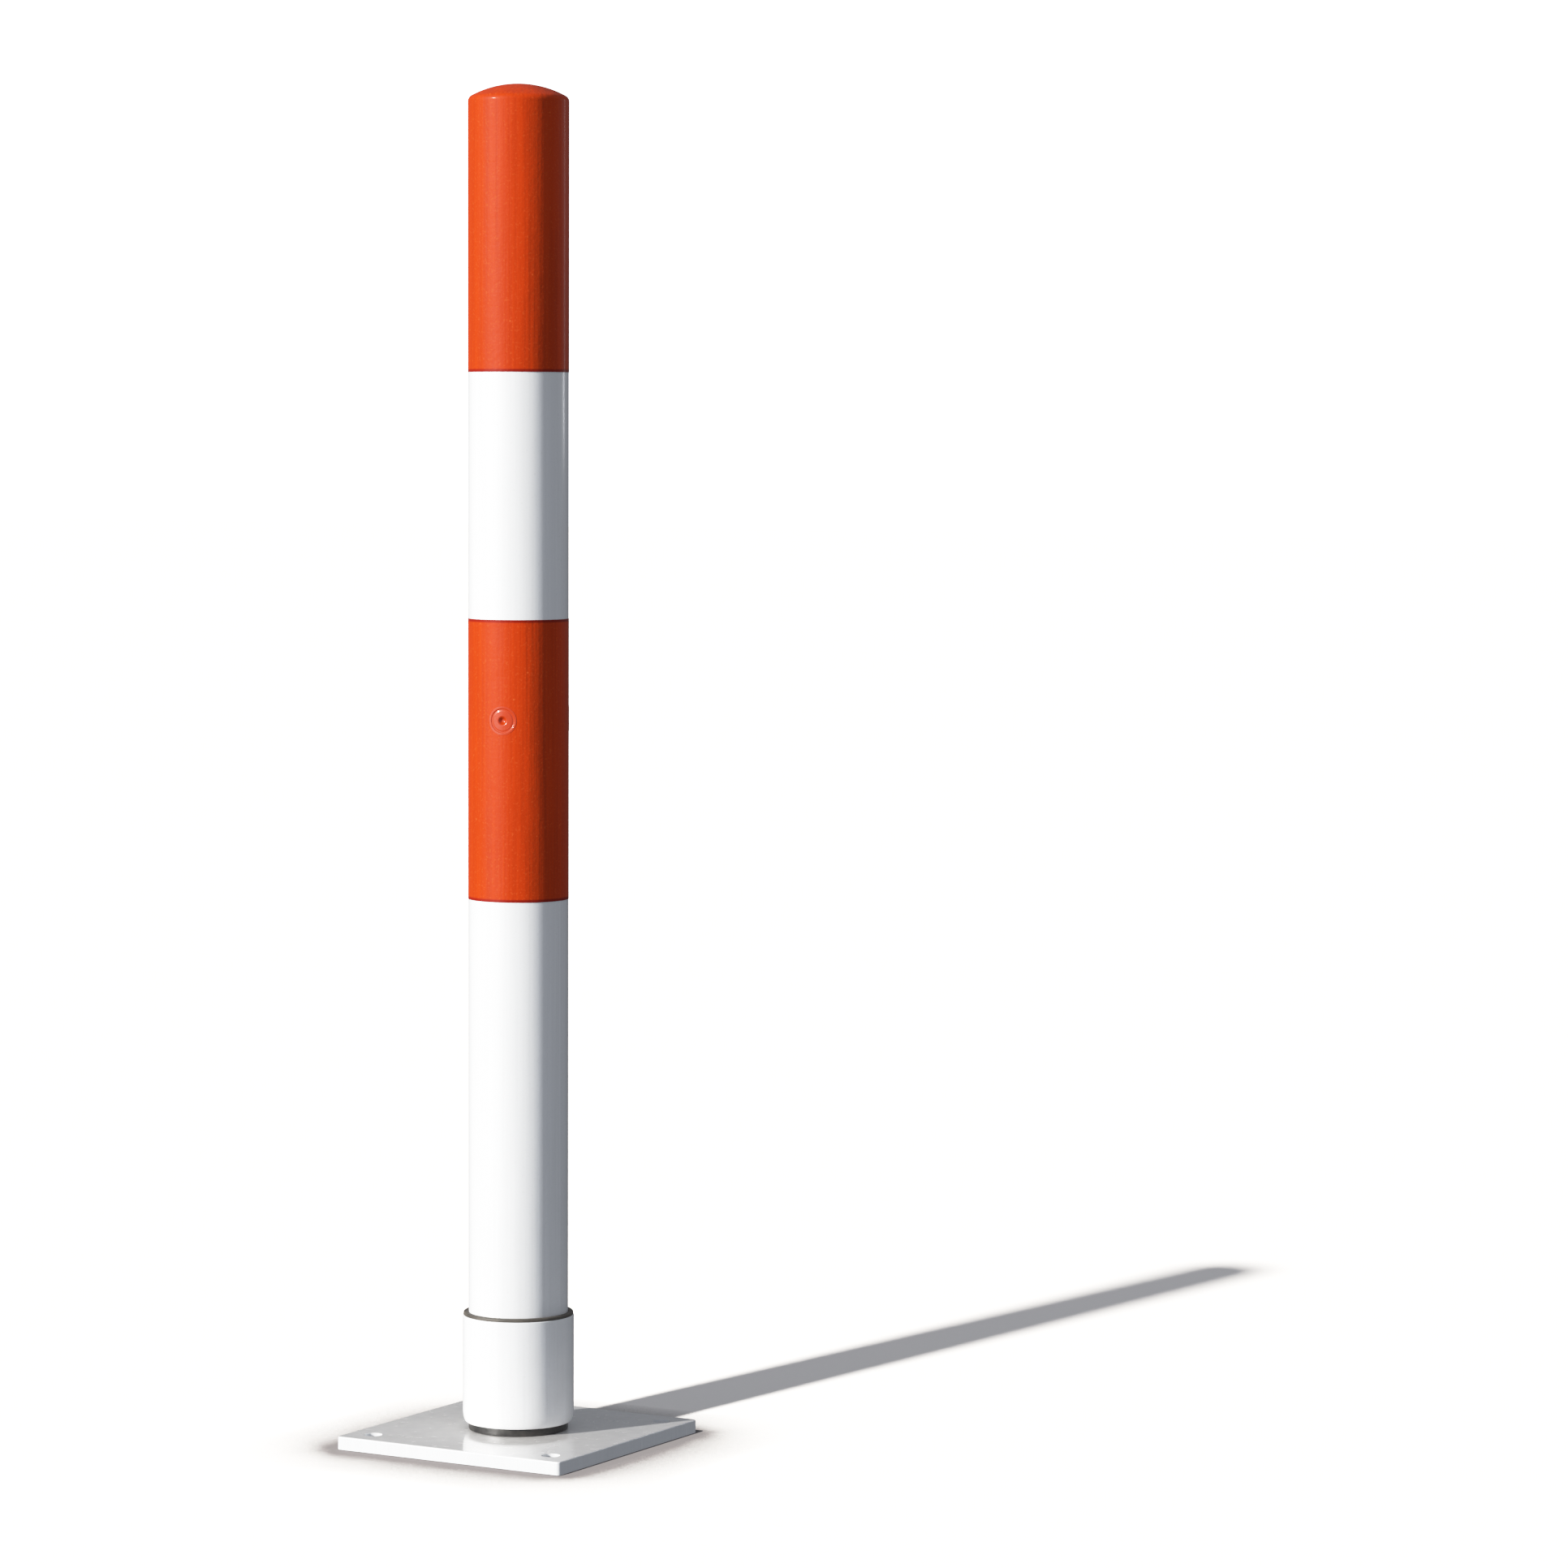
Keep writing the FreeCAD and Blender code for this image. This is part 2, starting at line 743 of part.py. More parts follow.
def check():
    for item in doc.Objects:
        if "Invalid" in item.State or "Error" in item.State:
            raise ValueError("%s failed: %s" % (item.Name, item.State))
    for label in NODES:
        shape = doc.getObjectsByLabel(label)[0].Shape
        if shape.isNull() or not shape.isValid() or not shape.Solids:
            raise ValueError(label + ": no valid solid")
        box = shape.BoundBox
        print("%-20s %d solid(s) %9.0f mm3  z %.2f to %.2f  x %.2f to %.2f" % (
            label, len(shape.Solids), shape.Volume, box.ZMin, box.ZMax, box.XMin, box.XMax))


def export():
    os.makedirs("parts", exist_ok=True)
    for label in NODES:
        doc.getObjectsByLabel(label)[0].Shape.exportStep("parts/%s.step" % label)


build()
check()
export()
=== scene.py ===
import json
import math
from contextlib import contextmanager

import bmesh
import bpy
from mathutils import Matrix, Vector


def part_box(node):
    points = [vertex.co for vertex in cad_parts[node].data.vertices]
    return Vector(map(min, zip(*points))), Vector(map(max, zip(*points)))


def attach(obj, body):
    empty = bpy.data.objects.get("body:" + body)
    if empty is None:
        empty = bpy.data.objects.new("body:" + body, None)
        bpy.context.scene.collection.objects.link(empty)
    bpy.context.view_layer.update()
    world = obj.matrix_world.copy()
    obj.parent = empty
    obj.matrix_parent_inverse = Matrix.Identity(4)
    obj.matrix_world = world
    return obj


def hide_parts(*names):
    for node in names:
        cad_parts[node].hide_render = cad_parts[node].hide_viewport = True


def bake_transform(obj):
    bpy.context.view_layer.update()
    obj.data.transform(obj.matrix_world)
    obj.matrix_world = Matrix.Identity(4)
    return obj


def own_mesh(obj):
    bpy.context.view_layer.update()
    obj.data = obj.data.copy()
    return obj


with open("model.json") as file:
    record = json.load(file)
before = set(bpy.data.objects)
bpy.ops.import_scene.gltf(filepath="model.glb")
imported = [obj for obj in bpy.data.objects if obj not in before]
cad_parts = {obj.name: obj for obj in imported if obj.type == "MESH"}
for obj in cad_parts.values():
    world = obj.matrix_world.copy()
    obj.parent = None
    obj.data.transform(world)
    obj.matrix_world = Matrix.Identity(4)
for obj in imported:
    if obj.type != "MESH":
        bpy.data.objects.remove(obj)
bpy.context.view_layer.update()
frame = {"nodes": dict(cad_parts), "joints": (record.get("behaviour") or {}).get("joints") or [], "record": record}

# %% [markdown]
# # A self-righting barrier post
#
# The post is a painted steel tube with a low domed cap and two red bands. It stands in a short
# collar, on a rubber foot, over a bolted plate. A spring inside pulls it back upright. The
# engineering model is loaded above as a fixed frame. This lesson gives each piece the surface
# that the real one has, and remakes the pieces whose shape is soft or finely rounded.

MM = 0.001
nodes = frame["nodes"]

# %% [markdown]
# ## Camera
#
# A long lens from four metres away keeps the post's sides almost parallel. A camera can be aimed
# by its Euler angles or by a constraint. Here the three directions of its frame are worked out
# one after the other, turn, dip and roll, because each of them is then a plain number to change.

# %% Camera
CAMERA_AZIMUTH = math.radians(32.68)
CAMERA_DISTANCE = 4.062
CAMERA_HEIGHT = 0.782
TURN_RIGHT = math.radians(2.852)
DIP = math.radians(3.891)
ROLL = math.radians(0.207)
LENS = 122.63
UP = Vector((0, 0, 1))


def compass(azimuth):
    """The level direction at an azimuth, which counts from -Y towards +X."""
    return Vector((math.sin(azimuth), -math.cos(azimuth), 0))


def make_camera():
    data = bpy.data.cameras.new("view_camera")
    data.lens = LENS
    data.sensor_width = 36
    data.clip_end = 100
    camera = bpy.data.objects.new("view_camera", data)
    bpy.context.collection.objects.link(camera)
    level = -compass(CAMERA_AZIMUTH - TURN_RIGHT)
    side = level.cross(UP)
    forward = level * math.cos(DIP) - UP * math.sin(DIP)
    top = level * math.sin(DIP) + UP * math.cos(DIP)
    right = side * math.cos(ROLL) + top * math.sin(ROLL)
    above = top * math.cos(ROLL) - side * math.sin(ROLL)
    turn = Matrix((right, above, -forward)).transposed().to_4x4()
    place = compass(CAMERA_AZIMUTH) * CAMERA_DISTANCE + UP * CAMERA_HEIGHT
    camera.matrix_world = Matrix.Translation(place) @ turn
    bpy.context.scene.camera = camera
    return camera


camera = make_camera()
print("camera at", [round(value, 2) for value in camera.location])

# %% [markdown]
# ## Light for the post
#
# Every lamp here is named for what it does. A low sun from the left models the post, and its
# edge of shade falls on the post's right half. Two upright strip lamps are the bright walls that
# a painted tube mirrors: a soft one left of the viewer, and a narrow one far round on the right.
# A sun could also light the floor, but a floor and a tall post ask for different heights, so
# light linking lets each sun see only what it is for.

# %% Suns and strips
POST_SUN_AZIMUTH = CAMERA_AZIMUTH - math.radians(60)
POST_SUN_HEIGHT = math.radians(17)
POST_SUN_STRENGTH = 6.3
FLOOR_SUN_AZIMUTH = math.radians(-6.2)
FLOOR_SUN_HEIGHT = math.radians(44.5)
FLOOR_SUN_STRENGTH = 7.5
SUN_WHITE = (1.0, 0.985, 0.95)
SUN_WIDTH = math.radians(2)


def place_lamp(data, towards, distance=0.0):
    """Stands a lamp in a direction from the origin, shining back at it."""
    lamp = bpy.data.objects.new(data.name, data)
    bpy.context.collection.objects.link(lamp)
    lamp.location = towards * distance
    lamp.rotation_mode = "QUATERNION"
    lamp.rotation_quaternion = towards.to_track_quat("Z", "Y")
    return lamp


def make_sun(name, azimuth, height, strength):
    data = bpy.data.lights.new(name, "SUN")
    data.energy = strength
    data.angle = SUN_WIDTH
    data.color = SUN_WHITE
    return place_lamp(data, compass(azimuth) * math.cos(height) + UP * math.sin(height))


def make_strip(name, azimuth, distance, width, tall, middle, power):
    data = bpy.data.lights.new(name, "AREA")
    data.shape = "RECTANGLE"
    data.size = width
    data.size_y = tall
    data.energy = power
    strip = place_lamp(data, compass(azimuth), distance)
    strip.location.z = middle
    return strip


post_sun = make_sun("post_sun", POST_SUN_AZIMUTH, POST_SUN_HEIGHT, POST_SUN_STRENGTH)
floor_sun = make_sun("floor_sun", FLOOR_SUN_AZIMUTH, FLOOR_SUN_HEIGHT, FLOOR_SUN_STRENGTH)
left_strip = make_strip("left_strip", CAMERA_AZIMUTH - math.radians(44), distance=2.2,
                        width=0.55, tall=1.3, middle=0.85, power=1.0)
right_strip = make_strip("right_strip", CAMERA_AZIMUTH + math.radians(129), distance=1.8,
                         width=0.09, tall=0.7, middle=1.1, power=1.3)
print("lamps:", [lamp.name for lamp in (post_sun, floor_sun, left_strip, right_strip)])

# %% [markdown]
# ## Floor and surroundings
#
# The floor is one wide sheet just under the plate. It is a bright white sweep, and such a sweep
# would fill the post's shaded side with light, so it is hidden from every ray but the eye's. The
# surroundings give that fill instead: brighter above and towards the viewer, dimmer behind. The
# eye sees them plain white.

# %% Floor and surroundings
FLOOR_HALF = 30
FLOOR_DROP = 0.3
FILL_BRIGHT = (0.38, 0.40, 0.44, 1)
FILL_DIM = (0.10, 0.105, 0.115, 1)
FILL_AZIMUTH = CAMERA_AZIMUTH - math.radians(15)
DIM_BELOW = -0.7
BRIGHT_ABOVE = 0.8
PLAIN_WHITE = (1, 1, 1, 1)
PLAIN_STRENGTH = 2


def make_floor():
    data = bpy.data.meshes.new("studio_floor")
    builder = bmesh.new()
    bmesh.ops.create_grid(builder, x_segments=1, y_segments=1, size=FLOOR_HALF)
    bmesh.ops.translate(builder, verts=builder.verts, vec=(0, 0, -FLOOR_DROP * MM))
    builder.to_mesh(data)
    builder.free()
    sheet = bpy.data.objects.new("studio_floor", data)
    bpy.context.collection.objects.link(sheet)
    sheet.visible_diffuse = False
    sheet.visible_glossy = False
    return sheet


def light_only(lamps, sheet, state):
    """Limits lamps to the floor sheet (INCLUDE) or to all but it (EXCLUDE)."""
    for lamp in lamps:
        group = bpy.data.collections.new(lamp.name + "_lights")
        group.objects.link(sheet)
        group.collection_objects[0].light_linking.link_state = state
        lamp.light_linking.receiver_collection = group


def make_world():
    world = bpy.data.worlds.new("studio")
    bpy.context.scene.world = world
    world.use_nodes = True
    tree = world.node_tree
    tree.nodes.clear()
    way = tree.nodes.new("ShaderNodeTexCoord")
    facing = tree.nodes.new("ShaderNodeVectorMath")
    facing.operation = "DOT_PRODUCT"
    facing.inputs[1].default_value = (compass(FILL_AZIMUTH) + UP).normalized()
    share = tree.nodes.new("ShaderNodeMapRange")
    share.inputs["From Min"].default_value = DIM_BELOW
    share.inputs["From Max"].default_value = BRIGHT_ABOVE
    fill = tree.nodes.new("ShaderNodeMix")
    fill.data_type = "RGBA"
    fill.inputs[6].default_value = FILL_DIM
    fill.inputs[7].default_value = FILL_BRIGHT
    lit = tree.nodes.new("ShaderNodeBackground")
    seen = tree.nodes.new("ShaderNodeBackground")
    seen.inputs["Color"].default_value = PLAIN_WHITE
    seen.inputs["Strength"].default_value = PLAIN_STRENGTH
    ray = tree.nodes.new("ShaderNodeLightPath")
    mix = tree.nodes.new("ShaderNodeMixShader")
    out = tree.nodes.new("ShaderNodeOutputWorld")
    tree.links.new(way.outputs["Generated"], facing.inputs[0])
    tree.links.new(facing.outputs["Value"], share.inputs["Value"])
    tree.links.new(share.outputs["Result"], fill.inputs[0])
    tree.links.new(fill.outputs[2], lit.inputs["Color"])
    tree.links.new(ray.outputs["Is Camera Ray"], mix.inputs[0])
    tree.links.new(lit.outputs[0], mix.inputs[1])
    tree.links.new(seen.outputs[0], mix.inputs[2])
    tree.links.new(mix.outputs[0], out.inputs[0])


floor = make_floor()
light_only((post_sun, left_strip, right_strip), floor, "EXCLUDE")
light_only((floor_sun,), floor, "INCLUDE")
make_world()
print("floor and surroundings ready")

# %% [markdown]
# ## Film curve
#
# The Standard view shows light values as they are and clips at 1. A camera's film bends the
# bright end over instead, which keeps sunlit red paint red. The colour management curve does the
# same here: a little lift below, and a soft shoulder that reaches white at SHOULDER_END.

# %% Film curve
SHOULDER_END = 1.7
FILM_POINTS = ((0.3, 0.33), (0.6, 0.65), (1.0, 0.86), (1.4, 0.96), (SHOULDER_END, 1.0))


def bend_highlights():
    view = bpy.context.scene.view_settings
    view.view_transform = "Standard"
    view.use_curve_mapping = True
    mapping = view.curve_mapping
    mapping.clip_max_x = SHOULDER_END
    curve = mapping.curves[3]
    curve.points[1].location = FILM_POINTS[-1]
    for at, value in FILM_POINTS[:-1]:
        curve.points.new(at, value)
    mapping.update()


bend_highlights()
print("film curve of", len(FILM_POINTS) + 1, "points")

# %% [markdown]
# ## Shader tools
#
# A material is a tree of nodes. Two small helpers keep that readable: one adds a node with its
# settings and inputs in a single call, and one opens a shader node group and makes its sockets.
# An input is either a plain value or the output socket of another node, which is then linked.

# %% Shader helpers


def feed(tree, socket, value):
    if isinstance(value, bpy.types.NodeSocket):
        tree.links.new(value, socket)
    else:
        socket.default_value = value


def add(tree, kind, inputs=(), **settings):
    """Adds a node. inputs maps a socket's name or number to a value or another socket."""
    made = tree.nodes.new(kind)
    for name, value in settings.items():
        setattr(made, name, value)
    for name, value in dict(inputs).items():
        feed(tree, made.inputs[name], value)
    return made


def noise(tree, vector, scale, detail=2.0, roughness=0.5):
    made = add(tree, "ShaderNodeTexNoise", {
        "Vector": vector, "Scale": scale, "Detail": detail, "Roughness": roughness})
    return made.outputs["Fac"]


def span(tree, value, low, high, to_low, to_high):
    """Maps low..high to to_low..to_high and holds the ends."""
    made = add(tree, "ShaderNodeMapRange", {
        "Value": value, "From Min": low, "From Max": high,
        "To Min": to_low, "To Max": to_high})
    return made.outputs["Result"]


def calc(tree, operation, first, second=0.0):
    made = add(tree, "ShaderNodeMath", {0: first, 1: second}, operation=operation)
    return made.outputs[0]


def blend_colour(tree, factor, first, second, kind="MIX"):
    made = add(tree, "ShaderNodeMix", {0: factor, 6: first, 7: second},
               data_type="RGBA", blend_type=kind)
    return made.outputs[2]


def stretched(tree, vector, scale):
    made = add(tree, "ShaderNodeMapping", {"Vector": vector, "Scale": scale})
    return made.outputs[0]


SOCKETS = {"colour": "NodeSocketColor", "number": "NodeSocketFloat", "vector": "NodeSocketVector"}


@contextmanager
def shader_group(name, inputs, outputs):
    """Opens a node group, and gives its tree, its inputs by name and a dict for its outputs."""
    tree = bpy.data.node_groups.new(name, "ShaderNodeTree")
    for label, kind in inputs.items():
        tree.interface.new_socket(label, in_out="INPUT", socket_type=SOCKETS[kind])
    for label, kind in outputs.items():
        tree.interface.new_socket(label, in_out="OUTPUT", socket_type=SOCKETS[kind])
    entry = tree.nodes.new("NodeGroupInput")
    results = {}
    yield tree, entry.outputs, results
    leave = tree.nodes.new("NodeGroupOutput")
    for label, socket in results.items():
        tree.links.new(socket, leave.inputs[label])


def use(tree, group, **inputs):
    """Places a node group. An input's name is written with _ for its spaces."""
    made = tree.nodes.new("ShaderNodeGroup")
    made.node_tree = bpy.data.node_groups[group]
    for name, value in inputs.items():
        feed(tree, made.inputs[name.replace("_", " ")], value)
    return made.outputs


print("shader helpers ready")

# %% [markdown]
# ## Paint skin
#
# Powder coat and stoved enamel are never quite flat. The coat flows into a fine orange peel,
# traps a few specks, and its colour drifts a little over a hand's width, with broad runs and
# fine streaks down the post. All the painted steel shares one group for this, and each paint
# gives it its own colour, gloss and amount of grain. A noise has more detail the larger its
# scale, and one that is stretched has a scale for each axis.

# %% Paint skin group
DRIFT_SCALE = 9.0
RUN_STRETCH = (90.0, 90.0, 3.0)
STREAK_STRETCH = (430.0, 430.0, 7.0)
GRAIN_SCALE = 620.0
FLECK_CELLS = 70.0
PEEL_SCALE = 380.0
SWELL_SCALE = 60.0

with shader_group(
        "Paint skin",
        {"Vector": "vector", "Colour": "colour", "Speck Colour": "colour", "Specks": "number",
         "Gloss": "number", "Drift": "number"},
        {"Colour": "colour", "Roughness": "number", "Height": "number"}) as (tree, given, results):
    place = given["Vector"]
    drift = noise(tree, place, DRIFT_SCALE, 3.0)
    runs = noise(tree, stretched(tree, place, RUN_STRETCH), 1.0, 3.0)
    streaks = noise(tree, stretched(tree, place, STREAK_STRETCH), 1.0, 2.0)
    uneven = calc(tree, "ADD", drift, calc(tree, "SUBTRACT", runs, 0.5))
    uneven = calc(tree, "ADD", uneven, span(tree, streaks, 0.3, 0.7, -0.35, 0.35))
    shade = span(tree, uneven, 0.25, 0.75, -1.0, 1.0)
    lift = calc(tree, "MULTIPLY_ADD", shade, given["Drift"])
    tree.nodes[-1].inputs[2].default_value = 1.0
    tone = add(tree, "ShaderNodeVectorMath", {0: given["Colour"], 3: lift}, operation="SCALE")
    grain = span(tree, noise(tree, place, GRAIN_SCALE, 2.0), 0.58, 0.72, 0.0, 0.5)
    cell = add(tree, "ShaderNodeTexVoronoi", {"Vector": place, "Scale": FLECK_CELLS})
    fleck = span(tree, cell.outputs["Distance"], 0.035, 0.06, 1.0, 0.0)
    speck = calc(tree, "MULTIPLY", calc(tree, "MAXIMUM", grain, fleck), given["Specks"])
    results["Colour"] = blend_colour(tree, speck, tone.outputs[0], given["Speck Colour"])
    rough = calc(tree, "ADD", given["Gloss"], span(tree, runs, 0.3, 0.7, -0.05, 0.06))
    results["Roughness"] = calc(tree, "ADD", rough, calc(tree, "MULTIPLY", speck, 0.12))
    peel = noise(tree, place, PEEL_SCALE, 3.0)
    swell = noise(tree, place, SWELL_SCALE, 1.0)
    fine = calc(tree, "MULTIPLY", calc(tree, "ADD", peel, streaks), 0.5)
    results["Height"] = calc(tree, "ADD", fine, swell)
print("paint skin: peel, specks, drift, runs and streaks")

# %% [markdown]
# ## Street dust
#
# What stands on the ground gets dusty from below: the splash is thickest at the foot and thins
# out with height. The group mixes a dust colour in by height and by a patchy noise, and says
# how much there is, so that a material can also go duller there.

# %% Street dust group
with shader_group(
        "Street dust",
        {"Vector": "vector", "Colour": "colour", "Dust Colour": "colour", "Amount": "number",
         "Reach": "number"},
        {"Colour": "colour", "Dust": "number"}) as (tree, given, results):
    place = given["Vector"]
    axes = add(tree, "ShaderNodeSeparateXYZ", {0: place})
    rise = calc(tree, "DIVIDE", axes.outputs["Z"], given["Reach"])
    low_down = span(tree, rise, 0.0, 1.0, 1.0, 0.0)
    patches = span(tree, noise(tree, place, 45.0, 5.0, 0.62), 0.42, 0.7, 0.0, 1.0)
    dust = calc(tree, "MULTIPLY", calc(tree, "MULTIPLY", low_down, patches), given["Amount"])
    results["Colour"] = blend_colour(tree, dust, given["Colour"], given["Dust Colour"])
    results["Dust"] = dust
print("street dust: patchy, thinning with height")

# %% [markdown]
# ## Worked metal
#
# Turned and drawn steel carries fine lines along the way it was worked, with small stains
# between them. The grain is a noise squeezed hard along one axis, so the lines run round a
# turned piece or along a drawn wire.

# %% Worked metal group
with shader_group(
        "Worked metal",
        {"Vector": "vector", "Colour": "colour", "Stain Colour": "colour", "Stain": "number",
         "Grain": "vector", "Gloss": "number"},
        {"Colour": "colour", "Roughness": "number", "Height": "number"}) as (tree, given, results):
    place = given["Vector"]
    combed = add(tree, "ShaderNodeVectorMath", {0: place, 1: given["Grain"]},
                 operation="MULTIPLY")
    lines = noise(tree, combed.outputs[0], 1.0, 3.0)
    stains = span(tree, noise(tree, place, 70.0, 4.0, 0.6), 0.45, 0.72, 0.0, 1.0)
    stained = calc(tree, "MULTIPLY", stains, given["Stain"])
    results["Colour"] = blend_colour(tree, stained, given["Colour"], given["Stain Colour"])
    rough = calc(tree, "ADD", given["Gloss"], span(tree, lines, 0.3, 0.7, -0.08, 0.1))
    results["Roughness"] = calc(tree, "ADD", rough, calc(tree, "MULTIPLY", stained, 0.2))
    results["Height"] = lines
print("worked metal: grain lines and stains")

# %% [markdown]
# ## Paints
#
# Every finish is a Principled shader fed by the groups. The helper makes the material and its
# bump, and what is the same all over, such as a metal's full Metallic, is set on the shader.
# The engineering model brings a plain material for each slot. They are renamed out of the way.

# %% Finish helper
finishes = {}
for plain in bpy.data.materials:
    plain.name = "plain_" + plain.name


@contextmanager
def finish(name):
    """Opens a new material, and gives its tree, its object coordinates and its shader."""
    material = bpy.data.materials.new(name)
    finishes[name] = material
    material.use_nodes = True
    tree = material.node_tree
    tree.nodes.clear()
    place = add(tree, "ShaderNodeTexCoord").outputs["Object"]
    shader = add(tree, "ShaderNodeBsdfPrincipled")
    out = add(tree, "ShaderNodeOutputMaterial")
    tree.links.new(shader.outputs[0], out.inputs[0])
    yield tree, place, shader.inputs


def bump(tree, height, depth, strength=1.0):
    """A bump whose height of 1 stands depth metres proud."""
    made = add(tree, "ShaderNodeBump", {
        "Height": height, "Distance": depth, "Strength": strength})
    return made.outputs[0]


print("finish helper ready")

# %% [markdown]
# ## White and red paint
#
# The tube and its collar are powder coated, the plate is enamelled, and the red is painted over
# the white. All of them have a clear top layer, which is the shader's coat, over a duller base. It
# is full on the glazed plate and faint on the weathered red. Where a red band ends, its edge is a
# darker line, because the film is thicker there and holds dirt. Paint that pooled over the screws
# stayed glossy, so their heads have a finish of their own. The flat top of the plate is painted a
# lighter tone than its upright edges, which is painted light.

# %% White and red paint
WHITE = (0.80, 0.81, 0.82, 1)
WHITE_SPECK = (0.62, 0.62, 0.62, 1)
PLATE_WHITE = (0.76, 0.77, 0.78, 1)
# Painted light: a lighter colour for the plate's flat top than for its sides.
PLATE_TOP_PAINTED_LIGHT = (0.88, 0.86, 0.84, 1)
PLATE_SPECK = (0.45, 0.44, 0.43, 1)
RED = (0.465, 0.034, 0.0, 1)
RED_SPECK = (0.62, 0.09, 0.015, 1)
BAND_LINE = (0.20, 0.005, 0.001, 1)
DUST = (0.30, 0.27, 0.23, 1)
DUST_DULLS = 0.4
DUST_REACH = 0.25
LINE_FULL = 1.5
LINE_GONE = 2.6
LINE_STRENGTH = 0.9
TOP_GONE = 0.35
TOP_FULL = 0.05


def band_edges(tree, place, colour):
    """Draws a darker line along the free edges of the two red bands."""
    height = add(tree, "ShaderNodeSeparateXYZ", {0: place}).outputs["Z"]
    lower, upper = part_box("band_lower"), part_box("band_upper")
    nearest = 1.0
    for edge in (lower[0].z, lower[1].z, upper[0].z):
        off = calc(tree, "ABSOLUTE", calc(tree, "SUBTRACT", height, edge))
        nearest = calc(tree, "MINIMUM", off, nearest)
    line = span(tree, nearest, LINE_FULL * MM, LINE_GONE * MM, LINE_STRENGTH, 0.0)
    return blend_colour(tree, line, colour, BAND_LINE)


# Painted light on the plate's flat top, mixed in faint patches.
def painted_top_light(tree, place, colour):
    """Paints the flat top of the plate a lighter tone than its sides, which is painted light."""
    height = add(tree, "ShaderNodeSeparateXYZ", {0: place}).outputs["Z"]
    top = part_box("base_plate")[1].z
    flat = span(tree, height, top - TOP_GONE * MM, top - TOP_FULL * MM, 0.0, 1.0)
    patches = span(tree, noise(tree, place, 22.0, 4.0, 0.6), 0.3, 0.7, 0.9, 1.0)
    return blend_colour(tree, calc(tree, "MULTIPLY", flat, patches), colour, PLATE_TOP_PAINTED_LIGHT)


def painted(name, colour, speck_colour, specks=0.3, gloss=0.4, drift=0.02, dust=0.0, peel=0.06,
            coat=0.5, coat_roughness=0.14, shine=0.3, extra=None):
    with finish(name) as (tree, place, shader):
        skin = use(tree, "Paint skin", Vector=place, Colour=colour, Speck_Colour=speck_colour,
                   Specks=specks, Gloss=gloss, Drift=drift)
        base = extra(tree, place, skin["Colour"]) if extra else skin["Colour"]
        dirty = use(tree, "Street dust", Vector=place, Colour=base, Dust_Colour=DUST,
                    Amount=dust, Reach=DUST_REACH)
        feed(tree, shader["Base Color"], dirty["Colour"])
        dull = calc(tree, "MULTIPLY", dirty["Dust"], DUST_DULLS)
        feed(tree, shader["Roughness"], calc(tree, "ADD", skin["Roughness"], dull))
        feed(tree, shader["Normal"], bump(tree, skin["Height"], peel * MM))
        shader["Specular IOR Level"].default_value = shine
        shader["Coat Weight"].default_value = coat
        shader["Coat Roughness"].default_value = coat_roughness


painted("white_powder", WHITE, WHITE_SPECK, dust=0.08)
painted("white_enamel", PLATE_WHITE, PLATE_SPECK, specks=0.05, gloss=0.22, peel=0.005,
        dust=0.06, coat=1.0, coat_roughness=0.07, extra=painted_top_light)
for name, extra in (("red_paint", None), ("red_film", band_edges)):
    painted(name, RED, RED_SPECK, specks=0.8, gloss=0.5, drift=0.09, peel=0.3, shine=0.12,
            coat=0.1, coat_roughness=0.16, extra=extra)
painted("red_pool", RED, RED_SPECK, specks=0.5, gloss=0.35, drift=0.05, peel=0.1, coat=1.0,
        coat_roughness=0.1)
print("paints: white powder coat, plate enamel, red paint, red film and pooled red")

# %% [markdown]
# ## Metals
#
# The working parts are zinc plated, drawn or sprung steel and bronze. They differ only in colour,
# in how their grain runs and in how dull they are, so one function makes them all.

# %% Metals
ACROSS = (900.0, 900.0, 900.0)
ROUND_GRAIN = (60.0, 60.0, 2500.0)
ALONG_GRAIN = (1500.0, 1500.0, 40.0)


def metal(name, colour, stain_colour, stain, grain, gloss, depth=0.03):
    with finish(name) as (tree, place, shader):
        worked = use(tree, "Worked metal", Vector=place, Colour=colour,
                     Stain_Colour=stain_colour, Stain=stain, Grain=grain, Gloss=gloss)
        shader["Metallic"].default_value = 1.0
        feed(tree, shader["Base Color"], worked["Colour"])
        feed(tree, shader["Roughness"], worked["Roughness"])
        feed(tree, shader["Normal"], bump(tree, worked["Height"], depth * MM))


metal("zinc_steel", (0.62, 0.63, 0.62, 1), (0.42, 0.38, 0.30, 1), 0.5, ROUND_GRAIN, 0.34)
metal("drawn_rod", (0.60, 0.61, 0.61, 1), (0.40, 0.35, 0.27, 1), 0.5, ALONG_GRAIN, 0.32)
metal("spring_steel", (0.16, 0.16, 0.18, 1), (0.30, 0.16, 0.09, 1), 0.4, ACROSS, 0.42)
metal("bronze", (0.58, 0.38, 0.17, 1), (0.30, 0.18, 0.08, 1), 0.6, ROUND_GRAIN, 0.38)
print("metals: zinc, drawn rod, spring steel and bronze")

# %% [markdown]
# ## Rubber and nylon
#
# Moulded rubber is near black with a fine pitted grain and a grey bloom. The seal on the collar's
# rim lies in sun and rain, so it has bleached to a dull brown grey, and is the same rubber with
# more bloom. Nylon is milky, slightly mottled, and keeps faint turning lines.

# %% Rubber and nylon
BLACK = (0.011, 0.011, 0.011, 1)
RUBBER_DUST_REACH = 0.03
PIT_SCALE = 1600.0
PIT_DEPTH = 0.06


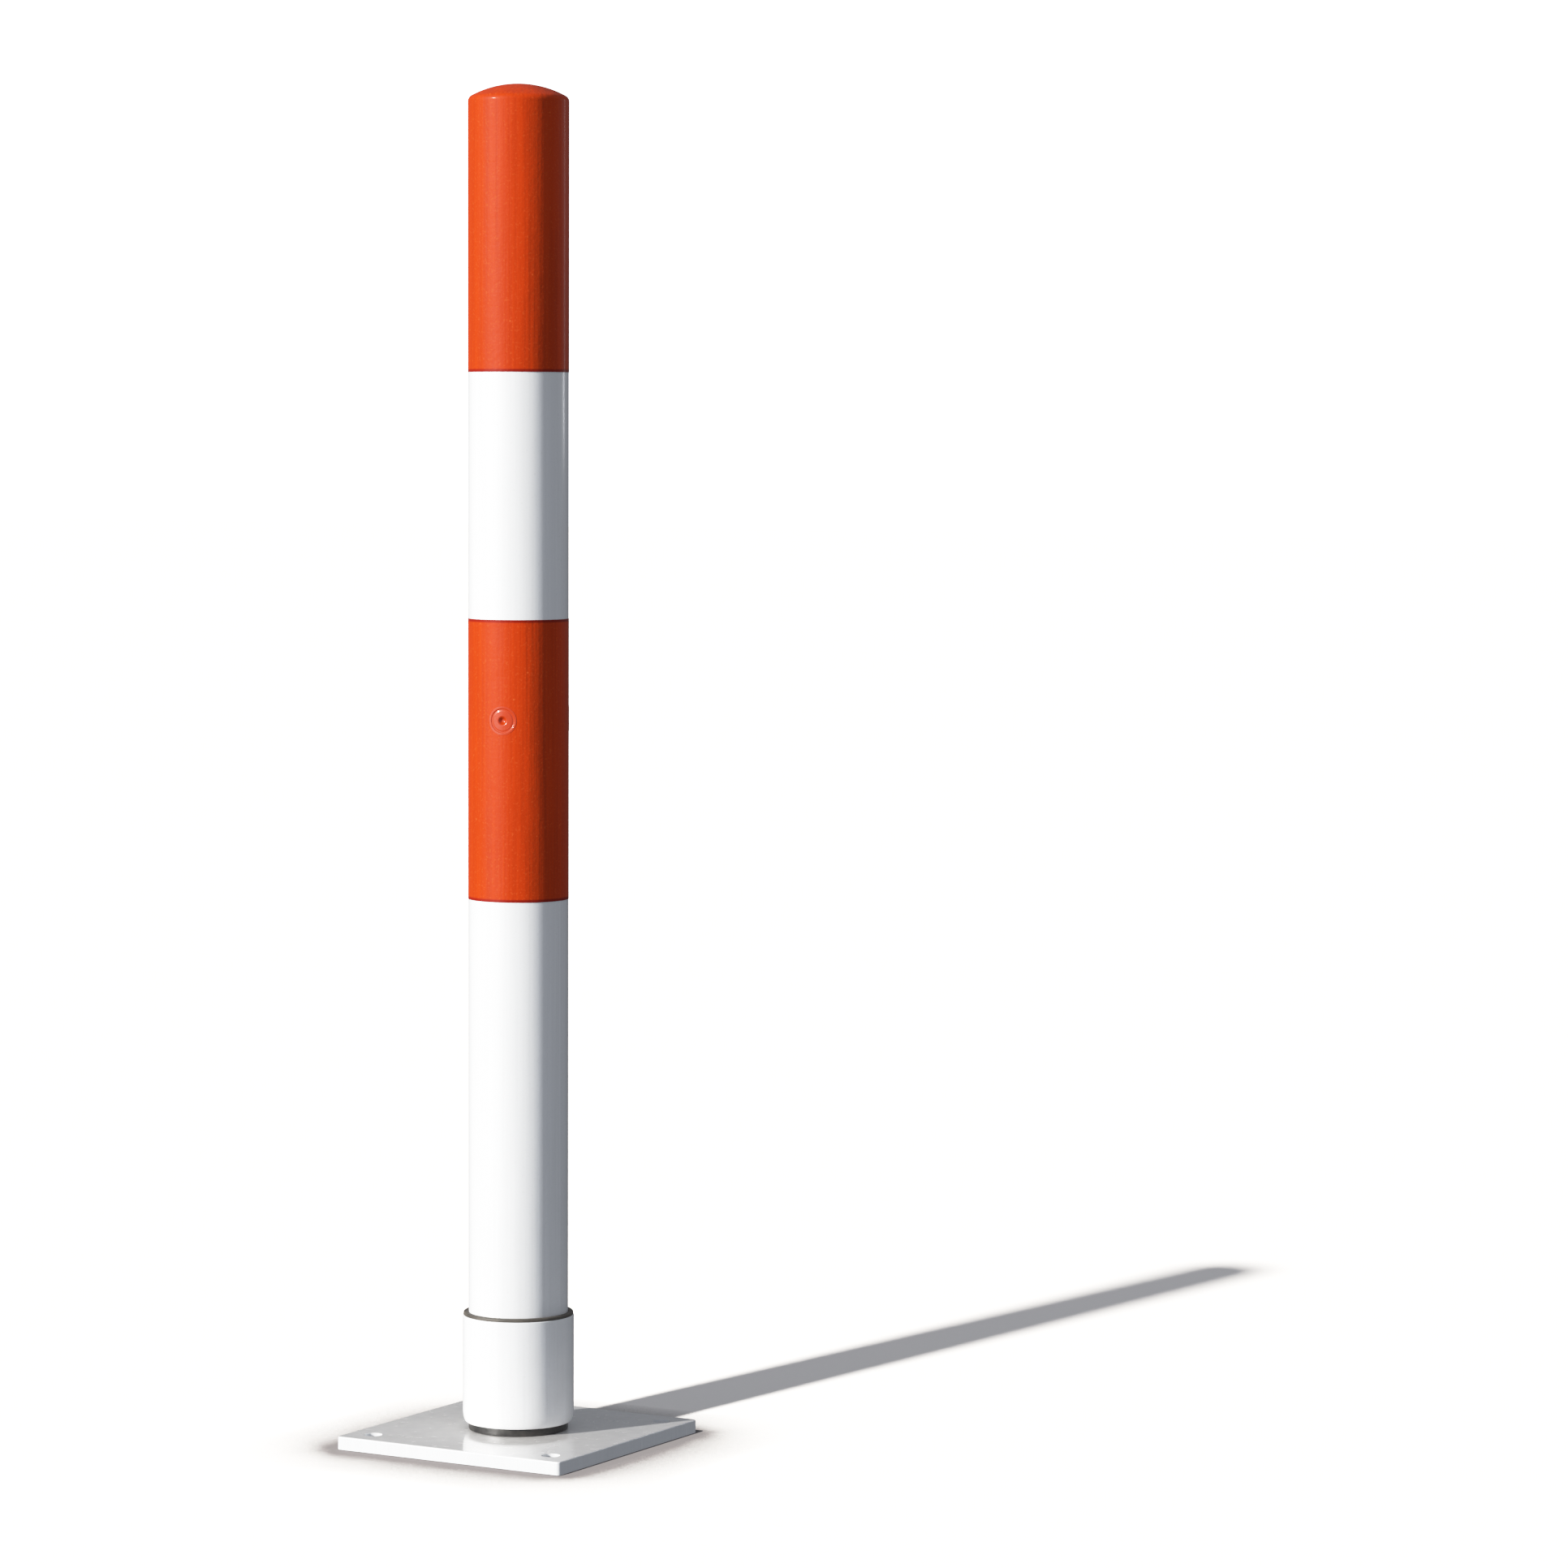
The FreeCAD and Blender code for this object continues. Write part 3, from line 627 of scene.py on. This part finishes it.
def rubber(name, least, most, bloom_colour, gloss, dust):
    with finish(name) as (tree, place, shader):
        bloom = span(tree, noise(tree, place, 120.0, 4.0, 0.6), 0.4, 0.7, least, most)
        grey = blend_colour(tree, bloom, BLACK, bloom_colour)
        dirty = use(tree, "Street dust", Vector=place, Colour=grey, Dust_Colour=DUST,
                    Amount=dust, Reach=RUBBER_DUST_REACH)
        feed(tree, shader["Base Color"], dirty["Colour"])
        pits = noise(tree, place, PIT_SCALE, 2.0)
        feed(tree, shader["Roughness"], span(tree, bloom, least, most, gloss, gloss + 0.2))
        feed(tree, shader["Normal"], bump(tree, pits, PIT_DEPTH * MM))


rubber("black_rubber", least=0.0, most=0.35, bloom_colour=(0.07, 0.064, 0.058, 1), gloss=0.34,
       dust=0.15)
rubber("bleached_rubber", least=0.55, most=1.0, bloom_colour=(0.115, 0.10, 0.082, 1), gloss=0.5,
       dust=0.0)

with finish("nylon") as (tree, place, shader):
    mottle = span(tree, noise(tree, place, 80.0, 3.0), 0.35, 0.65, 0.0, 1.0)
    milky = blend_colour(tree, mottle, (0.72, 0.70, 0.62, 1), (0.80, 0.79, 0.73, 1))
    feed(tree, shader["Base Color"], milky)
    rings = noise(tree, stretched(tree, place, ROUND_GRAIN), 1.0, 2.0)
    feed(tree, shader["Roughness"], span(tree, rings, 0.3, 0.7, 0.34, 0.48))
    feed(tree, shader["Normal"], bump(tree, rings, 0.04 * MM))
    shader["Subsurface Weight"].default_value = 0.08
    shader["Subsurface Scale"].default_value = 0.003
print("soft finishes: black rubber, bleached rubber and nylon")

# %% [markdown]
# ## Floor finish
#
# The white sweep clips to white wherever light reaches it. Close to the plate its colour is darkened
# towards a dark tone, which is painted shade: the ambient occlusion node measures how much of the
# corner the plate closes off. It looks level towards the middle, because a low plate fills little of
# the sky overhead.

# %% Floor finish
CORNER_REACH = 0.075
CORNER_DARK = 0.84
CORNER_OPEN = 0.975
# Painted shade: the colour the floor darkens to next to the plate.
CORNER_PAINTED_SHADE = (0.18, 0.168, 0.168, 1)
SWEEP_WHITE = (0.95, 0.91, 0.87, 1)

with finish("studio_floor") as (tree, place, shader):
    inward = add(tree, "ShaderNodeVectorMath", {0: place, 1: (-1, -1, 0)}, operation="MULTIPLY")
    inward = add(tree, "ShaderNodeVectorMath", {0: inward.outputs[0]}, operation="NORMALIZE")
    # Painted shade: the ambient occlusion share darkens the floor's colour near the plate.
    corner = add(tree, "ShaderNodeAmbientOcclusion", {
        "Distance": CORNER_REACH, "Normal": inward.outputs[0]}, samples=16)
    openness = span(tree, corner.outputs["AO"], CORNER_DARK, CORNER_OPEN, 0.0, 1.0)
    grain = span(tree, noise(tree, place, 300.0, 2.0), 0.3, 0.7, 0.98, 1.0)
    floor_with_painted_shade = blend_colour(tree, calc(tree, "MULTIPLY", openness, grain), CORNER_PAINTED_SHADE, SWEEP_WHITE)
    feed(tree, shader["Base Color"], floor_with_painted_shade)
    shader["Roughness"].default_value = 0.9
    shader["Specular IOR Level"].default_value = 0.0
print("floor finish ready")

# %% [markdown]
# ## Turning a piece
#
# Most of this post is turned, rolled or moulded round: one outline, swept about the upright
# axis. Subdivided cylinders could be pushed into shape, but a lathe is closer to how the real
# pieces are made. Each corner of an outline is (radius, height, rounding) in millimetres. The
# spin makes the surface, and a bevel on the ring of edges at each corner rounds it.

# %% Lathe
TURNS = 160
CLOSE = 0.001 * MM
parts = {part["node"]: part for part in frame["record"]["subparts"]}
body_of = {}
for body, members in frame["record"]["behaviour"]["bodies"].items():
    body_of.update(dict.fromkeys(members, body))


def reach(node):
    """A turned part's radius, underside and top, in millimetres."""
    low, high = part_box(node)
    return high.x / MM, low.z / MM, high.z / MM


def arc(middle_radius, middle_height, radius, start, stop, steps):
    """Outline corners along an arc. Its angle counts from straight up towards outwards."""
    corners = []
    for step in range(steps + 1):
        angle = start + (stop - start) * step / steps
        corners.append((middle_radius + radius * math.sin(angle),
                        middle_height + radius * math.cos(angle), 0))
    return corners


def round_ring(builder, radius, height, rounding):
    """Rounds the ring of edges at one corner of a turned outline."""
    def on_ring(vert):
        off = math.hypot(vert.co.x, vert.co.y) - radius * MM
        return abs(off) < CLOSE and abs(vert.co.z - height * MM) < CLOSE

    ring = [edge for edge in builder.edges if all(on_ring(vert) for vert in edge.verts)]
    bmesh.ops.bevel(builder, geom=ring, offset=rounding * MM, offset_type="OFFSET", segments=4,
                    profile=0.5, affect="EDGES", clamp_overlap=True, material=-1)


def lathe(outline, turns=TURNS):
    """Spins a closed outline about Z. Two corners on the axis leave its first side open."""
    builder = bmesh.new()
    corners = [builder.verts.new((radius * MM, 0, height * MM)) for radius, height, _ in outline]
    for first, second in zip(corners, corners[1:] + corners[:1]):
        if first.co.x or second.co.x:
            builder.edges.new((first, second))
    bmesh.ops.spin(builder, geom=builder.verts[:] + builder.edges[:], cent=(0, 0, 0),
                   axis=(0, 0, 1), angle=math.tau, steps=turns, use_merge=True)
    bmesh.ops.remove_doubles(builder, verts=builder.verts, dist=CLOSE)
    for radius, height, rounding in outline:
        if rounding:
            round_ring(builder, radius, height, rounding)
    bmesh.ops.recalc_face_normals(builder, faces=builder.faces)
    return builder


def settle(name, builder, material, sharp=35):
    """Turns a bmesh into a piece with smooth rounds, even flats and a finish."""
    data = bpy.data.meshes.new(name)
    builder.to_mesh(data)
    builder.free()
    data.shade_smooth()
    data.set_sharp_from_angle(angle=math.radians(sharp))
    data.materials.append(finishes[material])
    piece = bpy.data.objects.new(name, data)
    bpy.context.collection.objects.link(piece)
    evened = piece.modifiers.new("evened", "WEIGHTED_NORMAL")
    evened.keep_sharp = True
    print(name, len(data.polygons), "faces")
    return piece


def stand_in(piece, node):
    """Makes a piece ride on its part's body and take that part's place."""
    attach(piece, body_of[node])
    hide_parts(node)


print("lathe ready for", len(parts), "parts")

# %% [markdown]
# ## Foot cup and its seal
#
# The collar is a short length of tube, rolled in at its lower edge. On its rim sits a rubber ring
# with a lip that wipes the post. Its flange is a little smaller than the collar and round on top,
# so it shows as a thin dark line that tapers round the post.

# %% Collar and seal
COLLAR_WALL = 3.0
ROLL_HEIGHT = 10.0
ROLL_DEPTH = 2.7
ROLL_STEPS = 8
collar_radius, collar_bottom, collar_top = reach("collar")
roll_top = collar_bottom + ROLL_HEIGHT
collar_bore = collar_radius - COLLAR_WALL


def rolled(radius):
    """A quarter of an ellipse: upright at the top of the roll, turning in towards its edge."""
    corners = []
    for step in range(ROLL_STEPS + 1):
        angle = math.pi / 2 * step / ROLL_STEPS
        corners.append((radius - ROLL_DEPTH * (1 - math.cos(angle)),
                        roll_top - ROLL_HEIGHT * math.sin(angle), 0))
    return corners


outside = rolled(collar_radius)
inside = rolled(collar_bore)[::-1]
collar = settle("foot_collar", lathe(
    [(collar_radius, collar_top, 0.8), *outside, *inside, (collar_bore, collar_top, 0.6)]),
    "white_powder")
stand_in(collar, "collar")

SEAL_INSET = 0.5
SEAL_GAP = 0.05
LIP_THICK = 1.0
seal_radius, lip_bottom, seal_top = reach("top_seal")
seal_bore = reach("band_lower")[0] + SEAL_GAP
flange_radius = seal_radius - SEAL_INSET
top_seal = settle("rim_seal", lathe([
    (seal_bore, seal_top, 0.3), (flange_radius, seal_top, 1.1), (flange_radius, collar_top, 0.4),
    (seal_bore + LIP_THICK, collar_top, 0), (seal_bore + LIP_THICK, lip_bottom, 0.3),
    (seal_bore, lip_bottom, 0.3)]), "bleached_rubber")
stand_in(top_seal, "top_seal")

# %% [markdown]
# ## Rubber foot
#
# The foot is a thick moulded ring, waisted so that it can bend. It leans with the cup at its top
# and stays flat on the plate at its base. Planes cut extra rings into its tall sides, so that its
# mesh has vertices all the way up.

# %% Rubber foot
FOOT_BORE = 24.0
FOOT_BASE = 38.0
FOOT_WAIST = 36.5
BASE_HEIGHT = 5.6
WAIST_RISE = 1.5
WAIST_TOP = 32.0
SHOULDER = 37.0
RING_SPACING = 2.5
foot_radius, foot_bottom, foot_top = reach("rubber_block")
base_top = foot_bottom + BASE_HEIGHT


def cut_rings(builder, low, high, spacing):
    """Cuts level rings into a mesh at even heights."""
    count = int((high - low) / spacing)
    for index in range(1, count):
        height = low + (high - low) * index / count
        bmesh.ops.bisect_plane(builder, geom=builder.verts[:] + builder.edges[:] +
                               builder.faces[:], dist=CLOSE / 10,
                               plane_co=(0, 0, height * MM), plane_no=(0, 0, 1))


foot_mesh = lathe([
    (FOOT_BORE, foot_top, 0.8), (foot_radius, foot_top, 0.8), (foot_radius, SHOULDER, 1.5),
    (FOOT_WAIST, WAIST_TOP, 2.0), (FOOT_WAIST, base_top + WAIST_RISE, 0.6), (FOOT_BASE, base_top, 0.8),
    (FOOT_BASE, foot_bottom, 0.8), (FOOT_BORE, foot_bottom, 0.8)])
cut_rings(foot_mesh, foot_bottom, foot_top, RING_SPACING)
rubber_foot = settle("rubber_foot", foot_mesh, "black_rubber")
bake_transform(rubber_foot)
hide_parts("rubber_block")

# %% [markdown]
# ## Domed cap
#
# The cap is a pressed dome welded to the tube and painted with the upper band. A sphere's arc
# and a smaller arc at the shoulder touch where their centres and the point are in line, which
# gives both arcs' angles. Below the shoulder it runs flush with the band, so no seam shows.

# %% Domed cap
DOME_RADIUS = 75.0
SHOULDER_RADIUS = 5.0
SKIRT_RADIUS = 34.9
SKIRT_WALL = 3.0
band_radius, _, cap_seat = reach("band_upper")
_, cap_bottom, dome_top = reach("end_cap")
shoulder_out = band_radius - SHOULDER_RADIUS
meet_angle = math.asin(shoulder_out / (DOME_RADIUS - SHOULDER_RADIUS))
shoulder_up = dome_top - DOME_RADIUS + (DOME_RADIUS - SHOULDER_RADIUS) * math.cos(meet_angle)
dome = arc(0, dome_top - DOME_RADIUS, DOME_RADIUS, 0, meet_angle, 12)
shoulder = arc(shoulder_out, shoulder_up, SHOULDER_RADIUS, meet_angle, math.pi / 2, 10)
cap = settle("domed_cap", lathe(dome + shoulder[1:] + [
    (band_radius, cap_seat, 0), (SKIRT_RADIUS, cap_seat, 0), (SKIRT_RADIUS, cap_bottom, 0.5),
    (SKIRT_RADIUS - SKIRT_WALL, cap_bottom, 0.5), (SKIRT_RADIUS - SKIRT_WALL, cap_seat, 0),
    (0, cap_seat, 0)]), "red_paint")
stand_in(cap, "end_cap")

# %% [markdown]
# ## Seat screws
#
# Three countersunk screws hold the inner seat, and the band was painted over them. Paint fills
# the slit round each head to a shallow groove and leaves a dish where its socket is. A head is
# turned flat first, and each of its points is then moved out to the tube's curve.

# %% Seat screws
HOLE_RADIUS = 9.38
LIP_RADIUS = 10.9
LIP_PROUD = 0.2
GROOVE_RADIUS = 8.45
GROOVE_FLAT = 0.6
GROOVE_DEPTH = 0.4
HEAD_RIM = 7.6
DISH_RADIUS = 3.3
DISH_FLOOR = 1.2
DISH_DEPTH = 2.8
FACE_DEPTH = 0.1
HEAD_THICK = 5.0
SCREW_COUNT = 3
SCREW_AZIMUTH = math.radians(14)
screw_height = sum(reach("seat_screws")[1:]) / 2


def wrap(builder, azimuth, height, radius):
    """Lays a flat turned piece on the side of a tube of that radius."""
    outward = compass(azimuth)
    side = UP.cross(outward)
    for vert in builder.verts:
        across, along, depth = vert.co
        rise = math.sqrt((radius * MM) ** 2 - across ** 2)
        vert.co = side * across + UP * (along + height * MM) + outward * (rise + depth)


def join(builder, other):
    spare = bpy.data.meshes.new("spare")
    other.to_mesh(spare)
    other.free()
    builder.from_mesh(spare)
    bpy.data.meshes.remove(spare)


screws = bmesh.new()
for index in range(SCREW_COUNT):
    head = lathe([
        (0, -DISH_DEPTH, 0), (DISH_FLOOR, -DISH_DEPTH, 0.6), (DISH_RADIUS, -FACE_DEPTH, 0.7),
        (HEAD_RIM, -FACE_DEPTH, 0.5), (GROOVE_RADIUS - GROOVE_FLAT / 2, -GROOVE_DEPTH, 0.12),
        (GROOVE_RADIUS + GROOVE_FLAT / 2, -GROOVE_DEPTH, 0.12), (HOLE_RADIUS, LIP_PROUD, 0.3),
        (LIP_RADIUS, LIP_PROUD, 0.08), (LIP_RADIUS, -LIP_PROUD, 0), (HOLE_RADIUS, -LIP_PROUD, 0),
        (HOLE_RADIUS, -HEAD_THICK, 0), (0, -HEAD_THICK, 0)], turns=64)
    wrap(head, SCREW_AZIMUTH + math.tau * index / SCREW_COUNT, screw_height, band_radius)
    join(screws, head)
bmesh.ops.recalc_face_normals(screws, faces=screws.faces)
seat_screws = settle("seat_screw_heads", screws, "red_pool")
stand_in(seat_screws, "seat_screws")

# %% [markdown]
# ## Spring
#
# The spring is wound from round wire with a closed coil at each end. A circle of wire is spun and
# lifted step by step, which is how a spin makes a screw. It is pressed shorter when the post
# lifts, and its upper end is held by the rod. Here it is given a mesh of its own.

# %% Spring
WIRE_RADIUS = 3.5
COIL_RADIUS = 23.0
COIL_GAP = 0.2
OPEN_COILS = 8
COIL_STEPS = 40
spring_bottom, spring_top = reach("compression_spring")[1:]
closed_rise = 2 * WIRE_RADIUS + COIL_GAP
open_rise = spring_top - spring_bottom - 2 * WIRE_RADIUS - 2 * closed_rise

coil = bmesh.new()
start = Matrix.Translation((COIL_RADIUS * MM, 0, (spring_bottom + WIRE_RADIUS) * MM))
made = bmesh.ops.create_circle(coil, segments=14, radius=WIRE_RADIUS * MM,
                               matrix=start @ Matrix.Rotation(math.pi / 2, 4, "X"))
wire = made["verts"] + coil.edges[:]
for coils, rise in ((1, closed_rise), (OPEN_COILS, open_rise), (1, closed_rise)):
    steps = coils * COIL_STEPS
    made = bmesh.ops.spin(coil, geom=wire, cent=(0, 0, 0), axis=(0, 0, 1),
                          angle=coils * math.tau, steps=steps, dvec=(0, 0, rise * MM / steps))
    wire = made["geom_last"]
bmesh.ops.holes_fill(coil, edges=[edge for edge in coil.edges if edge.is_boundary])
bmesh.ops.recalc_face_normals(coil, faces=coil.faces)
spring = settle("return_spring", coil, "spring_steel")
stand_in(spring, "compression_spring")
lift = next(joint for joint in frame["joints"] if joint["name"] == "post_lift")
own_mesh(spring)

# %% [markdown]
# ## Softened edges
#
# The plate, nuts and washers have the right shape already, but the engineering model's edges are
# knife sharp, and paint or plating never is. A copy of each mesh is merged, its flat triangles
# are dissolved into whole faces, and every sharp edge is bevelled, so that edges catch the light.

# %% Softened edges
SOFT_EDGES = {"base_plate": 0.7, "pressure_plate": 0.4, "preload_nut": 0.5, "lock_nut": 0.5,
              "spring_washer": 0.3, "retaining_washer": 0.3}
FLAT_WITHIN = math.radians(1)
SHARP_OVER = math.radians(40)


def softened(node, width):
    builder = bmesh.new()
    builder.from_mesh(nodes[node].data)
    bmesh.ops.remove_doubles(builder, verts=builder.verts, dist=CLOSE)
    bmesh.ops.dissolve_limit(builder, angle_limit=FLAT_WITHIN, verts=builder.verts,
                             edges=builder.edges)
    sharp = [edge for edge in builder.edges if edge.calc_face_angle(0) > SHARP_OVER]
    bmesh.ops.bevel(builder, geom=sharp, offset=width * MM, offset_type="OFFSET", segments=3,
                    profile=0.5, affect="EDGES", clamp_overlap=True, material=-1)
    return builder


for node, width in SOFT_EDGES.items():
    piece = settle(node + "_soft", softened(node, width), parts[node]["material_slot"])
    stand_in(piece, node)

# %% [markdown]
# ## Finishes on the engineering parts
#
# Parts whose engineered shape is already right keep it, and only take a finish. The record
# names the slot of each part, and a rod that was drawn rather than turned has a grain of its own.

# %% Dress the engineering parts
OWN_FINISH = {"tie_rod": "drawn_rod", "pivot_pin": "drawn_rod"}


def wear(piece, material):
    piece.data.materials.clear()
    piece.data.materials.append(finishes[material])


for name, part in parts.items():
    wear(nodes[name], OWN_FINISH.get(name, part["material_slot"]))
wear(floor, "studio_floor")
print("dressed", len(nodes), "engineering parts")
